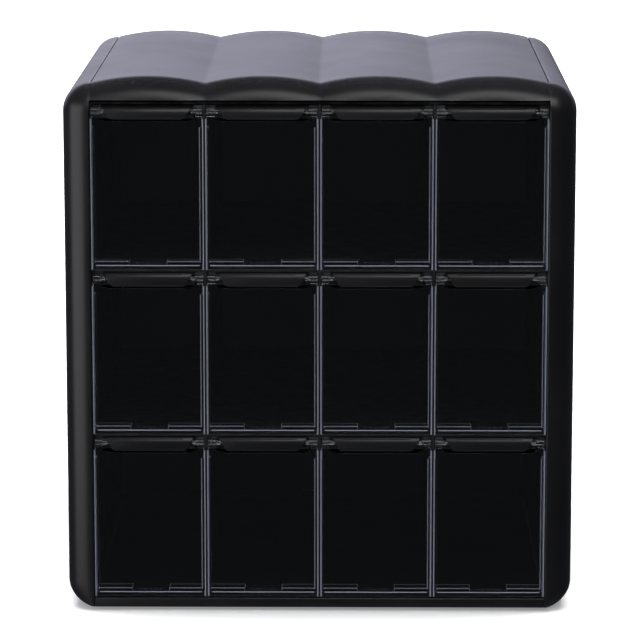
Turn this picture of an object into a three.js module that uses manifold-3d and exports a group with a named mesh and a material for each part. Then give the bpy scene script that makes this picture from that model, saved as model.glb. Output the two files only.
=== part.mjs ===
// Twelve-compartment countertop cube storage unit with clear lift-up doors.
//
// Millimetres, +Z up, +X to the right and +Y from the front to the back.
// The origin is on the surface the unit stands on, at the middle of its footprint.

import * as THREE from 'three';
import { mergeVertices } from 'three/addons/utils/BufferGeometryUtils.js';
import Module from 'manifold-3d';

// ---------------------------------------------------------------- driving dimensions

const COLUMNS = 4;
const ROWS = 3;
const COLUMN_PITCH = 96;
const ROW_PITCH = 141.3;
const DEPTH = 381;
const FIRST_ROW_Z = 12; // lower boundary of the bottom row of compartments

const SIDE_WIDTH = 23; // each rounded side shell, seen from the front
const CORNER_RADIUS = 23; // outer corners of the case, seen from the front
const FRONT_ROLL = 21; // quarter-round that turns the sides and top into the front
const FOOT_ROLL = 3; // the same round where a side shell meets the floor
const SKIN = 2.5; // wall of the moulded shells
const BOARD = 2; // shelves, dividers, liners, deck, base and back
const GAP = 0.3; // clearance between pieces that touch on the real unit

const VALLEY_Z = 451; // top of the side shells, and the creases between the scallops
const SCALLOP_RISE = 6; // how far each scallop stands above its creases
const SHELL_BOTTOM_Z = 1.1; // the rubber feet lift the shells off the surface
const FASCIA_BOTTOM_Z = 437.1;
const SKIRT_BOTTOM_Z = 3.2; // front skirt of the base
const REAR_RECESS = 3.5; // how far the back panel sits inside the rear rim
const SEAM_WIDTH = 0.7; // step cut along the cover's long edges
const SEAM_DEPTH = 1.5;

const DOOR_RECESS = 1; // door front behind the frontmost plane
const DOOR_THICKNESS = 2;
const DOOR_GAP = 0.9; // door edge to the boundary of its compartment
const KNUCKLE_RADIUS = 4.8;
const PIVOT_DROP = 7; // pivot below the top boundary of the compartment
const KNUCKLE_INNER = 39.4; // knuckle ends, from the middle of the door
const KNUCKLE_OUTER = 46.2;
const ARM_REACH = 6.3; // plate starts this far below the pivot beside the valance
const PIN_RADIUS = 2;
const PIN_TIP = 31.5; // pin end, from the middle of the door
const FLANGE = 1.8; // wall of the door's side and bottom flanges
const FLANGE_DROP = 7; // the side flanges start this far below the arms
const SIDE_FLANGE_DEPTH = 10;
const BOTTOM_FLANGE_DEPTH = 17;
const BOTTOM_FLANGE_RISE = 4.2;
const NOTCH_HALF_WIDTH = 15.6; // notch in the middle of the bottom flange
const RIB_COUNT = 5; // grip ribs on the front, below the middle of the door
const RIB_PITCH = 4.6;
const RIB_HEIGHT = 0.7;

const VALANCE_TOP_HALF = 38.6;
const VALANCE_BOTTOM_HALF = 30.5;
const VALANCE_DROP = 14;
const TOP_VALANCE_DIP = 1.1; // the top row's valances start lower, clear of the fascia
const VALANCE_CLEARANCE = 1.25; // between a valance and the door below it
const VALANCE_CORNER = 3;

const SCREW_RADIUS = 1.5;
const FOOT_RADIUS = 9;

// ---------------------------------------------------------------- worked-out dimensions

const INNER_HALF = (COLUMNS * COLUMN_PITCH) / 2; // middle to the side shells
const HALF_WIDTH = INNER_HALF + SIDE_WIDTH;
const FRONT_Y = -DEPTH / 2;
const REAR_Y = DEPTH / 2;
const BACK_PANEL_Y = REAR_Y - REAR_RECESS; // rear face of the back panel
const BOARD_REAR_Y = BACK_PANEL_Y - BOARD - GAP;
const DOOR_FRONT_Y = FRONT_Y + DOOR_RECESS;
const DOOR_BACK_Y = DOOR_FRONT_Y + DOOR_THICKNESS;
const BOARD_FRONT_Y = DOOR_BACK_Y + 0.5; // the closed doors stop against the boards
const PIVOT_Y = DOOR_FRONT_Y + KNUCKLE_RADIUS;
const RAIL_BAR_Y = PIVOT_Y + KNUCKLE_RADIUS + 1.6;
const RAIL_BAR_DEPTH = 3.5;
const LINER_INNER_HALF = INNER_HALF - BOARD / 2;
const BOARD_HALF = LINER_INNER_HALF - GAP;
const BASE_TOP_Z = FIRST_ROW_Z - 2;
const TOP_BOUNDARY_Z = FIRST_ROW_Z + ROWS * ROW_PITCH;
const DECK_TOP_Z = TOP_BOUNDARY_Z + BOARD / 2;
const CREST_Z = VALLEY_Z + SCALLOP_RISE;
const SEAM_FRONT_Y = FRONT_Y + FRONT_ROLL + 3; // the seams end where the roll begins
const SCALLOP_RADIUS = (COLUMN_PITCH ** 2 / 4 + SCALLOP_RISE ** 2) / (2 * SCALLOP_RISE);
const SCREW_X = INNER_HALF + 10.5;
const SCREW_HEIGHTS = [42, 228, 408];
const BOSS_LENGTH = 15;
const BOSS_RADIUS = 4.2;
const FOOT_X = 138;
const FOOT_FRONT_INSET = 24;
const FOOT_REAR_INSET = 30;
const FOOT_YS = [FRONT_Y + FOOT_FRONT_INSET, REAR_Y - FOOT_REAR_INSET];
const LIP_REAR_Y = PIVOT_Y + 3; // the front lip of a side shell ends here

const boundaryX = (i) => -INNER_HALF + i * COLUMN_PITCH;
const boundaryZ = (i) => FIRST_ROW_Z + i * ROW_PITCH;
const cellX = (column) => boundaryX(column + 0.5);

// ---------------------------------------------------------------- materials

const plastic = (color, roughness, extra = {}) =>
  new THREE.MeshStandardMaterial({ color, roughness, metalness: 0, ...extra });

const caseBlack = () => plastic(0x1c1c20, 0.42);
const boardBlack = () => plastic(0x101013, 0.5);
const clearPlastic = () => plastic(0xdfe8f0, 0.08, { transparent: true, opacity: 0.3 });
const rubberBlack = () => plastic(0x0d0d0d, 0.85);
const screwSteel = () =>
  new THREE.MeshStandardMaterial({ color: 0x2a2a2c, roughness: 0.4, metalness: 0.9 });

// ---------------------------------------------------------------- solids

const wasm = await Module();
wasm.setup();

/** Turns a closed three.js geometry into a solid that can be joined and cut. */
function solid(geometry) {
  const bare = geometry.clone();
  bare.deleteAttribute('normal');
  bare.deleteAttribute('uv');
  const merged = mergeVertices(bare, 1e-4);
  return new wasm.Manifold(
    new wasm.Mesh({
      numProp: 3,
      vertProperties: Float32Array.from(merged.attributes.position.array),
      triVerts: Uint32Array.from(merged.index.array),
    }),
  );
}

/** Turns a finished solid back into a three.js geometry. */
function geometryOf(body) {
  const { vertProperties, triVerts, numProp } = body.getMesh();
  const positions = new Float32Array((vertProperties.length / numProp) * 3);
  for (let i = 0; i < positions.length / 3; i += 1) {
    for (let axis = 0; axis < 3; axis += 1) {
      positions[3 * i + axis] = vertProperties[numProp * i + axis];
    }
  }
  const geometry = new THREE.BufferGeometry();
  geometry.setAttribute('position', new THREE.BufferAttribute(positions, 3));
  geometry.setIndex(Array.from(triVerts));
  return geometry;
}

/** A rectangular block between two corners. */
function block([x0, y0, z0], [x1, y1, z1]) {
  const box = new THREE.BoxGeometry(x1 - x0, y1 - y0, z1 - z0);
  box.translate((x0 + x1) / 2, (y0 + y1) / 2, (z0 + z1) / 2);
  return solid(box);
}

/** A rod along X. */
function rodAlongX(radius, x0, x1, y, z, segments = 14) {
  const rod = new THREE.CylinderGeometry(radius, radius, x1 - x0, segments);
  rod.rotateZ(Math.PI / 2);
  rod.translate((x0 + x1) / 2, y, z);
  return solid(rod);
}

/** A rod along Y. */
function rodAlongY(radius, y0, y1, x, z, segments = 12) {
  const rod = new THREE.CylinderGeometry(radius, radius, y1 - y0, segments);
  rod.translate(x, (y0 + y1) / 2, z);
  return solid(rod);
}

/** A plate whose outline is drawn in X and Z, as thick as the stretch of Y it fills. */
function plate(shape, y0, y1) {
  const slab = new THREE.ExtrudeGeometry(shape, {
    depth: y1 - y0,
    bevelEnabled: false,
    curveSegments: 4,
  });
  slab.rotateX(Math.PI / 2);
  slab.translate(0, y1, 0);
  return solid(slab);
}

/** A plate from the points of its outline. */
const outlinePlate = (points, y0, y1) =>
  plate(new THREE.Shape(points.map(([x, z]) => new THREE.Vector2(x, z))), y0, y1);

/** A closed skin over rings { y, points } that run from front to back, counter-clockwise. */
function loft(rings) {
  const count = rings[0].points.length;
  const positions = rings.flatMap(({ y, points }) => points.flatMap(([x, z]) => [x, y, z]));
  const faces = [];
  for (let ring = 0; ring + 1 < rings.length; ring += 1) {
    for (let j = 0; j < count; j += 1) {
      const next = (j + 1) % count;
      const [a, b] = [ring * count + j, ring * count + next];
      faces.push(a, a + count, b + count, a, b + count, b);
    }
  }
  const flat = (ring) => ring.points.map(([x, z]) => new THREE.Vector2(x, z));
  const last = (rings.length - 1) * count;
  for (const [a, b, c] of THREE.ShapeUtils.triangulateShape(flat(rings[0]), [])) {
    faces.push(a, b, c);
  }
  for (const [a, b, c] of THREE.ShapeUtils.triangulateShape(flat(rings.at(-1)), [])) {
    faces.push(last + c, last + b, last + a);
  }
  const geometry = new THREE.BufferGeometry();
  geometry.setAttribute('position', new THREE.Float32BufferAttribute(positions, 3));
  geometry.setIndex(faces);
  return solid(geometry);
}

const join = (first, ...rest) => rest.reduce((sum, next) => sum.add(next), first);
const cut = (first, ...rest) => rest.reduce((left, next) => left.subtract(next), first);

// ---------------------------------------------------------------- the scene graph

const group = new THREE.Group();

/** Adds one named piece. */
function addPiece(name, body, material) {
  const mesh = new THREE.Mesh(geometryOf(body), material);
  mesh.name = name;
  group.add(mesh);
  return mesh;
}

// ---------------------------------------------------------------- outer shells

const ROLL_STEPS = 7;
const CORNER_STEPS = 7;
const SCALLOP_STEPS = 8;

/**
 * Rings of a body with a rolled front edge. outline(inset, footInset) gives the points of
 * one ring; wall moves the whole body inwards, for the hollow inside a shell.
 */
function rolledRings(outline, wall, rearY) {
  const rings = [];
  const roll = FRONT_ROLL - wall;
  for (let step = ROLL_STEPS; step >= 0; step -= 1) {
    const angle = ((step / ROLL_STEPS) * Math.PI) / 2;
    const shrink = 1 - Math.cos(angle);
    rings.push({
      y: FRONT_Y + FRONT_ROLL - roll * Math.sin(angle),
      points: outline(wall + roll * shrink, wall + FOOT_ROLL * shrink),
    });
  }
  rings.push({ y: rearY, points: outline(wall, wall) });
  return rings;
}

/** Outline of the left side shell, seen from the front, with its two round corners. */
function sideOutline(inset, footInset) {
  const points = [];
  const corner = (centreZ, radiusZ, start) => {
    for (let step = 0; step <= CORNER_STEPS; step += 1) {
      const angle = start + ((step / CORNER_STEPS) * Math.PI) / 2;
      points.push([
        -INNER_HALF + (SIDE_WIDTH - inset) * Math.cos(angle),
        centreZ + radiusZ * Math.sin(angle),
      ]);
    }
  };
  corner(VALLEY_Z - CORNER_RADIUS, CORNER_RADIUS - inset, Math.PI / 2);
  corner(SHELL_BOTTOM_Z + CORNER_RADIUS, CORNER_RADIUS - footInset, Math.PI);
  return points;
}

/** Height of the scalloped top at x. */
function scallopZ(x) {
  const column = Math.min(COLUMNS - 1, Math.max(0, Math.floor((x + INNER_HALF) / COLUMN_PITCH)));
  const across = x - cellX(column);
  return VALLEY_Z + SCALLOP_RISE - SCALLOP_RADIUS + Math.sqrt(SCALLOP_RADIUS ** 2 - across ** 2);
}

/** The scalloped line from right to left between -half and half, lowered by drop. */
function scallopLine(half, drop) {
  const points = [];
  for (let i = COLUMNS * SCALLOP_STEPS; i >= 0; i -= 1) {
    const x = boundaryX(i / SCALLOP_STEPS);
    const limited = Math.min(half, Math.max(-half, x));
    points.push([limited, scallopZ(limited) - drop]);
  }
  return points;
}

const FAR_BELOW = 60; // a cutting body reaches this far past the piece it cuts

function sideShell() {
  const outer = loft(rolledRings(sideOutline, 0, REAR_Y));
  const hollow = loft(rolledRings(sideOutline, SKIN, REAR_Y + 1));
  const openSide = block(
    [-INNER_HALF - SKIN, LIP_REAR_Y, SHELL_BOTTOM_Z + SKIN],
    [-INNER_HALF + 1, REAR_Y + 1, VALLEY_Z - SKIN],
  );
  const lip = block(
    [-INNER_HALF - SKIN, FRONT_Y - 1, 0],
    [-INNER_HALF, LIP_REAR_Y, VALLEY_Z],
  );
  const bosses = SCREW_HEIGHTS.flatMap((z) => [
    rodAlongY(BOSS_RADIUS, BOARD_REAR_Y - BOSS_LENGTH, BOARD_REAR_Y, -SCREW_X, z),
    block(
      [-HALF_WIDTH + 1, BOARD_REAR_Y - BOSS_LENGTH, z - BOARD / 2],
      [-SCREW_X, BOARD_REAR_Y, z + BOARD / 2],
    ),
  ]);
  const holes = SCREW_HEIGHTS.map((z) =>
    rodAlongY(SCREW_RADIUS + GAP, BOARD_REAR_Y - BOSS_LENGTH + 2, REAR_Y, -SCREW_X, z),
  );
  return cut(join(cut(outer, hollow, openSide), outer.intersect(lip), ...bosses), ...holes);
}

function topCover() {
  const edge = INNER_HALF - GAP;
  const outline = (half) => (inset) => [
    [-half, FASCIA_BOTTOM_Z - FAR_BELOW],
    [half, FASCIA_BOTTOM_Z - FAR_BELOW],
    ...scallopLine(half, inset),
  ];
  const outer = loft(rolledRings(outline(edge), 0, REAR_Y));
  const hollow = loft(rolledRings(outline(edge - SKIN), SKIN, REAR_Y + 1));
  const panelRoom = block(
    [-edge - 1, BOARD_REAR_Y, DECK_TOP_Z],
    [edge + 1, REAR_Y + 1, VALLEY_Z - SKIN],
  );
  const below = block(
    [-HALF_WIDTH, FRONT_Y - 1, FASCIA_BOTTOM_Z - FAR_BELOW - 1],
    [HALF_WIDTH, BOARD_FRONT_Y, FASCIA_BOTTOM_Z],
  );
  const belowDeck = block(
    [-HALF_WIDTH, BOARD_FRONT_Y - 1, FASCIA_BOTTOM_Z - FAR_BELOW - 1],
    [HALF_WIDTH, REAR_Y + 1, DECK_TOP_Z + GAP],
  );
  const seams = [-1, 1].map((side) => {
    const [x0, x1] = [side * edge, side * (edge - SEAM_WIDTH)].sort((a, b) => a - b);
    return block([x0, SEAM_FRONT_Y, VALLEY_Z - SEAM_DEPTH], [x1, REAR_Y + 1, CREST_Z]);
  });
  return cut(outer, hollow, panelRoom, below, belowDeck, ...seams);
}

const leftShell = sideShell();
addPiece('side_shell_left', leftShell, caseBlack());
addPiece('side_shell_right', leftShell.mirror([1, 0, 0]), caseBlack());
addPiece('top_cover', topCover(), caseBlack());

// ---------------------------------------------------------------- boards inside the case

const BOARD_MIDDLE_Y = 0; // the halved joints meet at the middle of the depth
const SLOT = BOARD / 2 + GAP;

/** A full-width shelf, slotted from the back for the dividers. */
function shelf(z) {
  const board = block(
    [-BOARD_HALF, BOARD_FRONT_Y, z - BOARD / 2],
    [BOARD_HALF, BOARD_REAR_Y, z + BOARD / 2],
  );
  const slots = [];
  for (let i = 1; i < COLUMNS; i += 1) {
    const x = boundaryX(i);
    slots.push(
      block([x - SLOT, BOARD_MIDDLE_Y - GAP, z - BOARD], [x + SLOT, REAR_Y, z + BOARD]),
    );
  }
  return cut(board, ...slots);
}

/** A full-height divider, slotted from the front for the shelves. */
function divider(x) {
  const board = block(
    [x - BOARD / 2, BOARD_FRONT_Y, BASE_TOP_Z + GAP],
    [x + BOARD / 2, BOARD_REAR_Y, TOP_BOUNDARY_Z - BOARD / 2 - GAP],
  );
  const cuts = [];
  for (let i = 1; i < ROWS; i += 1) {
    const z = boundaryZ(i);
    cuts.push(
      block([x - BOARD, FRONT_Y, z - SLOT], [x + BOARD, BOARD_MIDDLE_Y + GAP, z + SLOT]),
    );
  }
  // Room for the hinge rail under each shelf and under the deck.
  for (let i = 1; i <= ROWS; i += 1) {
    const z = boundaryZ(i);
    cuts.push(
      block(
        [x - BOARD, RAIL_BAR_Y - GAP, z - VALANCE_DROP - GAP],
        [x + BOARD, RAIL_BAR_Y + RAIL_BAR_DEPTH + GAP, z],
      ),
    );
  }
  return cut(board, ...cuts);
}

addPiece('shelf_lower', shelf(boundaryZ(1)), boardBlack());
addPiece('shelf_upper', shelf(boundaryZ(2)), boardBlack());
['divider_left', 'divider_middle', 'divider_right'].forEach((name, i) => {
  addPiece(name, divider(boundaryX(i + 1)), boardBlack());
});

const deck = block(
  [-BOARD_HALF, BOARD_FRONT_Y, DECK_TOP_Z - BOARD],
  [BOARD_HALF, BOARD_REAR_Y, DECK_TOP_Z],
);
addPiece('top_deck', deck, boardBlack());

/** The inner wall that closes a side shell and lines the outer column. */
const liner = block(
  [-LINER_INNER_HALF - BOARD, LIP_REAR_Y + GAP, SHELL_BOTTOM_Z + SKIN + GAP],
  [-LINER_INNER_HALF, BOARD_REAR_Y, DECK_TOP_Z],
);
addPiece('liner_left', liner, boardBlack());
addPiece('liner_right', liner.mirror([1, 0, 0]), boardBlack());

/** The base board, with its front skirt and the fold that stiffens the skirt. */
function basePanel() {
  const board = block(
    [-BOARD_HALF, BOARD_FRONT_Y, BASE_TOP_Z - BOARD],
    [BOARD_HALF, BOARD_REAR_Y, BASE_TOP_Z],
  );
  const skirt = block(
    [-INNER_HALF + GAP, FRONT_Y + 0.5, SKIRT_BOTTOM_Z],
    [INNER_HALF - GAP, BOARD_FRONT_Y - GAP, FIRST_ROW_Z - 0.6],
  );
  const foldBack = block(
    [-BOARD_HALF, FRONT_Y + 1, SKIRT_BOTTOM_Z],
    [BOARD_HALF, BOARD_FRONT_Y + SKIN, BASE_TOP_Z - BOARD + 0.5],
  );
  return join(board, skirt, foldBack);
}
addPiece('base_panel', basePanel(), caseBlack());

/** The back panel fills the rear rim; its top edge follows the scallops. */
function backPanel() {
  const wall = SKIN + GAP;
  const leftEdge = sideOutline(wall, wall).filter(([x]) => x < -INNER_HALF + GAP - 1);
  const rightEdge = leftEdge.map(([x, z]) => [-x, z]).reverse();
  const coverWall = INNER_HALF - GAP - wall; // inside the cover's side walls
  const outline = [
    ...rightEdge,
    [coverWall + GAP, VALLEY_Z - wall],
    ...scallopLine(coverWall, wall),
    [-coverWall - GAP, VALLEY_Z - wall],
    ...leftEdge,
  ];
  const panel = outlinePlate(outline, BACK_PANEL_Y - BOARD, BACK_PANEL_Y);
  const holes = SCREW_HEIGHTS.flatMap((z) =>
    [-SCREW_X, SCREW_X].map((x) =>
      rodAlongY(SCREW_RADIUS + GAP, BOARD_REAR_Y - 1, REAR_Y, x, z),
    ),
  );
  return cut(panel, ...holes);
}
addPiece('back_panel', backPanel(), boardBlack());

// ---------------------------------------------------------------- hinge rails

/** One trapezium valance with rounded lower corners, centred on x. */
function valanceShape(x, top, bottom, topHalf, bottomHalf, corner) {
  const shape = new THREE.Shape();
  const slope = (topHalf - bottomHalf) / (top - bottom);
  const shoulder = bottomHalf + slope * corner;
  shape.moveTo(x - topHalf, top);
  shape.lineTo(x - shoulder, bottom + corner);
  shape.quadraticCurveTo(x - bottomHalf, bottom, x - bottomHalf + corner, bottom);
  shape.lineTo(x + bottomHalf - corner, bottom);
  shape.quadraticCurveTo(x + bottomHalf, bottom, x + shoulder, bottom + corner);
  shape.lineTo(x + topHalf, top);
  shape.closePath();
  return shape;
}

/** A rail under the boundary at z: a bar, four valances and the sockets for the pins. */
function hingeRail(z, valanceTop) {
  const under = z - BOARD / 2 - GAP;
  const bottom = z - VALANCE_DROP;
  const pivotZ = z - PIVOT_DROP;
  const pieces = [
    block([-BOARD_HALF, RAIL_BAR_Y, bottom], [BOARD_HALF, RAIL_BAR_Y + RAIL_BAR_DEPTH, under]),
  ];
  const cuts = [
    block([-BOARD_HALF, BOARD_FRONT_Y - GAP, under], [BOARD_HALF, REAR_Y, z + BOARD]),
  ];
  for (let column = 0; column < COLUMNS; column += 1) {
    const x = cellX(column);
    const shape = valanceShape(
      x, valanceTop, bottom, VALANCE_TOP_HALF, VALANCE_BOTTOM_HALF, VALANCE_CORNER,
    );
    pieces.push(plate(shape, DOOR_FRONT_Y, RAIL_BAR_Y + 1));
    const hollowHalf = PIN_TIP - 4;
    cuts.push(
      block(
        [x - hollowHalf, DOOR_BACK_Y + 0.4, bottom - 1],
        [x + hollowHalf, RAIL_BAR_Y, under - SKIN],
      ),
      rodAlongX(PIN_RADIUS + GAP, x - VALANCE_TOP_HALF, x - PIN_TIP + GAP, PIVOT_Y, pivotZ),
      rodAlongX(PIN_RADIUS + GAP, x + PIN_TIP - GAP, x + VALANCE_TOP_HALF, PIVOT_Y, pivotZ),
    );
  }
  return cut(join(...pieces), ...cuts);
}

['lower', 'middle', 'upper'].forEach((name, row) => {
  const z = boundaryZ(row + 1);
  const valanceTop = row + 1 === ROWS ? z - TOP_VALANCE_DIP : z + GAP;
  addPiece(`hinge_rail_${name}`, hingeRail(z, valanceTop), caseBlack());
});

// ---------------------------------------------------------------- doors

/** A clear door around its own pivot: the mesh is placed at the pivot. */
function doorBody() {
  const half = COLUMN_PITCH / 2 - DOOR_GAP;
  const front = -KNUCKLE_RADIUS;
  const back = front + DOOR_THICKNESS;
  const bottom = PIVOT_DROP - ROW_PITCH + DOOR_GAP;
  const underValance = PIVOT_DROP - VALANCE_DROP - VALANCE_CLEARANCE;
  const cutHalf = VALANCE_BOTTOM_HALF + 2 * VALANCE_CLEARANCE;
  const sheet = outlinePlate(
    [
      [-half, bottom],
      [half, bottom],
      [half, -ARM_REACH],
      [KNUCKLE_OUTER, -ARM_REACH],
      [KNUCKLE_OUTER, 0],
      [KNUCKLE_INNER, 0],
      [KNUCKLE_INNER, -ARM_REACH],
      [cutHalf, underValance],
      [-cutHalf, underValance],
      [-KNUCKLE_INNER, -ARM_REACH],
      [-KNUCKLE_INNER, 0],
      [-KNUCKLE_OUTER, 0],
      [-KNUCKLE_OUTER, -ARM_REACH],
      [-half, -ARM_REACH],
    ],
    front,
    back,
  );
  const flangeTop = -ARM_REACH - FLANGE_DROP;
  const flangeBottom = bottom + BOTTOM_FLANGE_RISE;
  const pieces = [];
  for (const side of [-1, 1]) {
    const span = (a, b) => [Math.min(side * a, side * b), Math.max(side * a, side * b)];
    const [k0, k1] = span(KNUCKLE_INNER, KNUCKLE_OUTER);
    const [p0, p1] = span(PIN_TIP, KNUCKLE_INNER + 1);
    const [f0, f1] = span(KNUCKLE_OUTER - FLANGE, KNUCKLE_OUTER);
    const [b0, b1] = span(NOTCH_HALF_WIDTH, KNUCKLE_OUTER - 0.5);
    pieces.push(
      rodAlongX(KNUCKLE_RADIUS, k0, k1, 0, 0),
      rodAlongX(PIN_RADIUS, p0, p1, 0, 0, 10),
      block([f0, back - 0.5, flangeBottom], [f1, back + SIDE_FLANGE_DEPTH, flangeTop]),
      block(
        [b0, back - 0.5, flangeBottom],
        [b1, back + BOTTOM_FLANGE_DEPTH, flangeBottom + FLANGE - 0.1],
      ),
    );
  }
  for (let i = 0; i < RIB_COUNT; i += 1) {
    const x = (i - (RIB_COUNT - 1) / 2) * RIB_PITCH;
    pieces.push(
      block([x - 0.8, front - RIB_HEIGHT, bottom + 2], [x + 0.8, front + 0.5, bottom + 6.5]),
    );
  }
  return join(sheet, ...pieces);
}

const doorSolid = doorBody();
['bottom', 'middle', 'top'].forEach((rowName, row) => {
  for (let column = 0; column < COLUMNS; column += 1) {
    const door = addPiece(`door_${rowName}_${column + 1}`, doorSolid, clearPlastic());
    door.position.set(cellX(column), PIVOT_Y, boundaryZ(row + 1) - PIVOT_DROP);
  }
});

// ---------------------------------------------------------------- screws and feet

/** A pan-head screw with a cross recess, its head on the back panel. */
function screwBody() {
  const headRadius = 3.2;
  const headHeight = 2;
  const length = 12;
  const profile = [
    [0, -length],
    [SCREW_RADIUS - 0.6, -length],
    [SCREW_RADIUS, -length + 1.5],
    [SCREW_RADIUS, 0],
    [headRadius, 0],
    [headRadius, headHeight * 0.45],
    [headRadius * 0.8, headHeight * 0.82],
    [headRadius * 0.45, headHeight],
    [0, headHeight],
  ];
  const turned = new THREE.LatheGeometry(profile.map(([r, y]) => new THREE.Vector2(r, y)), 12);
  const recess = [
    block([-1.8, headHeight - 1.1, -0.45], [1.8, headHeight + 1, 0.45]),
    block([-0.45, headHeight - 1.1, -1.8], [0.45, headHeight + 1, 1.8]),
  ];
  return cut(solid(turned), ...recess);
}

const screwSolid = screwBody();
for (const [sideName, side] of [['left', -1], ['right', 1]]) {
  ['low', 'mid', 'high'].forEach((heightName, i) => {
    const screw = addPiece(`back_screw_${sideName}_${heightName}`, screwSolid, screwSteel());
    screw.position.set(side * SCREW_X, BACK_PANEL_Y + GAP, SCREW_HEIGHTS[i]);
  });
}

/** A soft round foot with a slightly domed sole. */
function footBody() {
  const top = BASE_TOP_Z - BOARD - GAP;
  const profile = [
    [0, 0],
    [FOOT_RADIUS - 1.5, 0],
    [FOOT_RADIUS - 0.4, 0.6],
    [FOOT_RADIUS, 1.6],
    [FOOT_RADIUS, top],
    [0, top],
  ];
  const turned = new THREE.LatheGeometry(profile.map(([r, y]) => new THREE.Vector2(r, y)), 20);
  turned.rotateX(Math.PI / 2);
  return solid(turned);
}

const footSolid = footBody();
for (const [endName, y] of [['front', FOOT_YS[0]], ['rear', FOOT_YS[1]]]) {
  for (const [sideName, side] of [['left', -1], ['right', 1]]) {
    const foot = addPiece(`foot_${endName}_${sideName}`, footSolid, rubberBlack());
    foot.position.set(side * FOOT_X, y, 0);
  }
}

export default group;
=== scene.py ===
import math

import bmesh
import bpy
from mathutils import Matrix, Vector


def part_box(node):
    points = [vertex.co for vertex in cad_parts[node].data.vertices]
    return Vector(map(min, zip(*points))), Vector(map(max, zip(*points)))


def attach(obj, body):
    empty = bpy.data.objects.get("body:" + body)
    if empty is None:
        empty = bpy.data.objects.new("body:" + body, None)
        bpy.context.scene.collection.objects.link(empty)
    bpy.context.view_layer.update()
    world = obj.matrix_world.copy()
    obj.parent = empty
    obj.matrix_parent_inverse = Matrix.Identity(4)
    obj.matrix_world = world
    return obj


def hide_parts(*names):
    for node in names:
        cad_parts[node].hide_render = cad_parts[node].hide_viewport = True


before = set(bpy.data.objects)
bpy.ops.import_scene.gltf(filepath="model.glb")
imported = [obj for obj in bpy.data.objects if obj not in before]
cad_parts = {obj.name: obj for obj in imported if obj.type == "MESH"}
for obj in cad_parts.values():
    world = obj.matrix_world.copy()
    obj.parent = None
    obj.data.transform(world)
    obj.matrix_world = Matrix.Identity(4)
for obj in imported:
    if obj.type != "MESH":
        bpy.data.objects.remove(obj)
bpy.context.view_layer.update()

# %% [markdown]
# # A countertop storage unit with twelve clear doors
# The unit is a black moulded case, four compartments wide and three high. Two shells wrap
# round its sides, a scalloped cover lies on top, and a clear tray-shaped door hangs in
# front of every compartment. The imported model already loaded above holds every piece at
# its true size and place. Here each visible piece is made again with finer curves and
# rounded edges, and gets its finish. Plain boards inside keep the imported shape.

# %% [markdown]
# ## Sizes
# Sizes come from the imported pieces, so that the looks stay in step with the model. What
# a box can't tell, such as the radius of a round edge, is a named value in metres.

# %% Sizes
shell_low, shell_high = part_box("side_shell_left")
cover_low, cover_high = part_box("top_cover")
door_low, door_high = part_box("door_bottom_1")
FRONT, REAR = shell_low.y, shell_high.y
HALF_WIDTH, INNER_HALF = -shell_low.x, -shell_high.x
SHELL_BOTTOM, VALLEY = shell_low.z, shell_high.z
CREST, COVER_HALF = cover_high.z, cover_high.x
FASCIA_LIFT = 0.0014  # leaves the dark gap over the valances
FASCIA_BOTTOM = cover_low.z + FASCIA_LIFT
CORNER = HALF_WIDTH - INNER_HALF
FRONT_ROLL = 0.021
FOOT_ROLL = 0.003
SKIN = 0.0025
COLUMNS = 4
PITCH = 2 * INNER_HALF / COLUMNS
ROW_NAMES = ("bottom", "middle", "top")
print("side shells", round(1000 * CORNER, 1), "mm wide, columns", round(1000 * PITCH, 1),
      "mm apart")

# %% [markdown]
# ## The camera
# The unit is seen from just above, through a long lens that stands a little over three
# metres away and is turned half a degree to the left.

# %% Camera
LENS, SENSOR, FARTHEST = 195.75, 36, 100
LOOK_DOWN, TURN_LEFT = 10.724, 0.539

camera_data = bpy.data.cameras.new("camera")
camera_data.lens = LENS
camera_data.sensor_width = SENSOR
camera_data.clip_end = FARTHEST
camera = bpy.data.objects.new("camera", camera_data)
camera.location = (0.0275, -3.0637, 0.7972)
camera.rotation_euler = (math.radians(90 - LOOK_DOWN), 0, math.radians(TURN_LEFT))
bpy.context.scene.collection.objects.link(camera)
bpy.context.scene.camera = camera
print("camera at", [round(part, 3) for part in camera.location])

# %% [markdown]
# ## Shader maths
# A finish is a small net of nodes. To write it like arithmetic, one class wraps a socket:
# `1 - mask` or `grain * 0.3` adds the Math nodes. A second class holds the material and
# makes any other node from its type, its settings and what goes into its sockets.

# %% Shader maths
class Value:
    """A socket of a node; an expression on it adds the Math nodes that work it out."""

    def __init__(self, finish, socket):
        self.finish, self.socket = finish, socket

    def math(self, operation, first, second):
        return self.finish.node("ShaderNodeMath", {"operation": operation}, {0: first, 1: second})

    def __add__(self, other):
        return self.math("ADD", self, other)

    def __radd__(self, other):
        return self.math("ADD", other, self)

    def __sub__(self, other):
        return self.math("SUBTRACT", self, other)

    def __rsub__(self, other):
        return self.math("SUBTRACT", other, self)

    def __mul__(self, other):
        return self.math("MULTIPLY", self, other)

    def __rmul__(self, other):
        return self.math("MULTIPLY", other, self)


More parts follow.
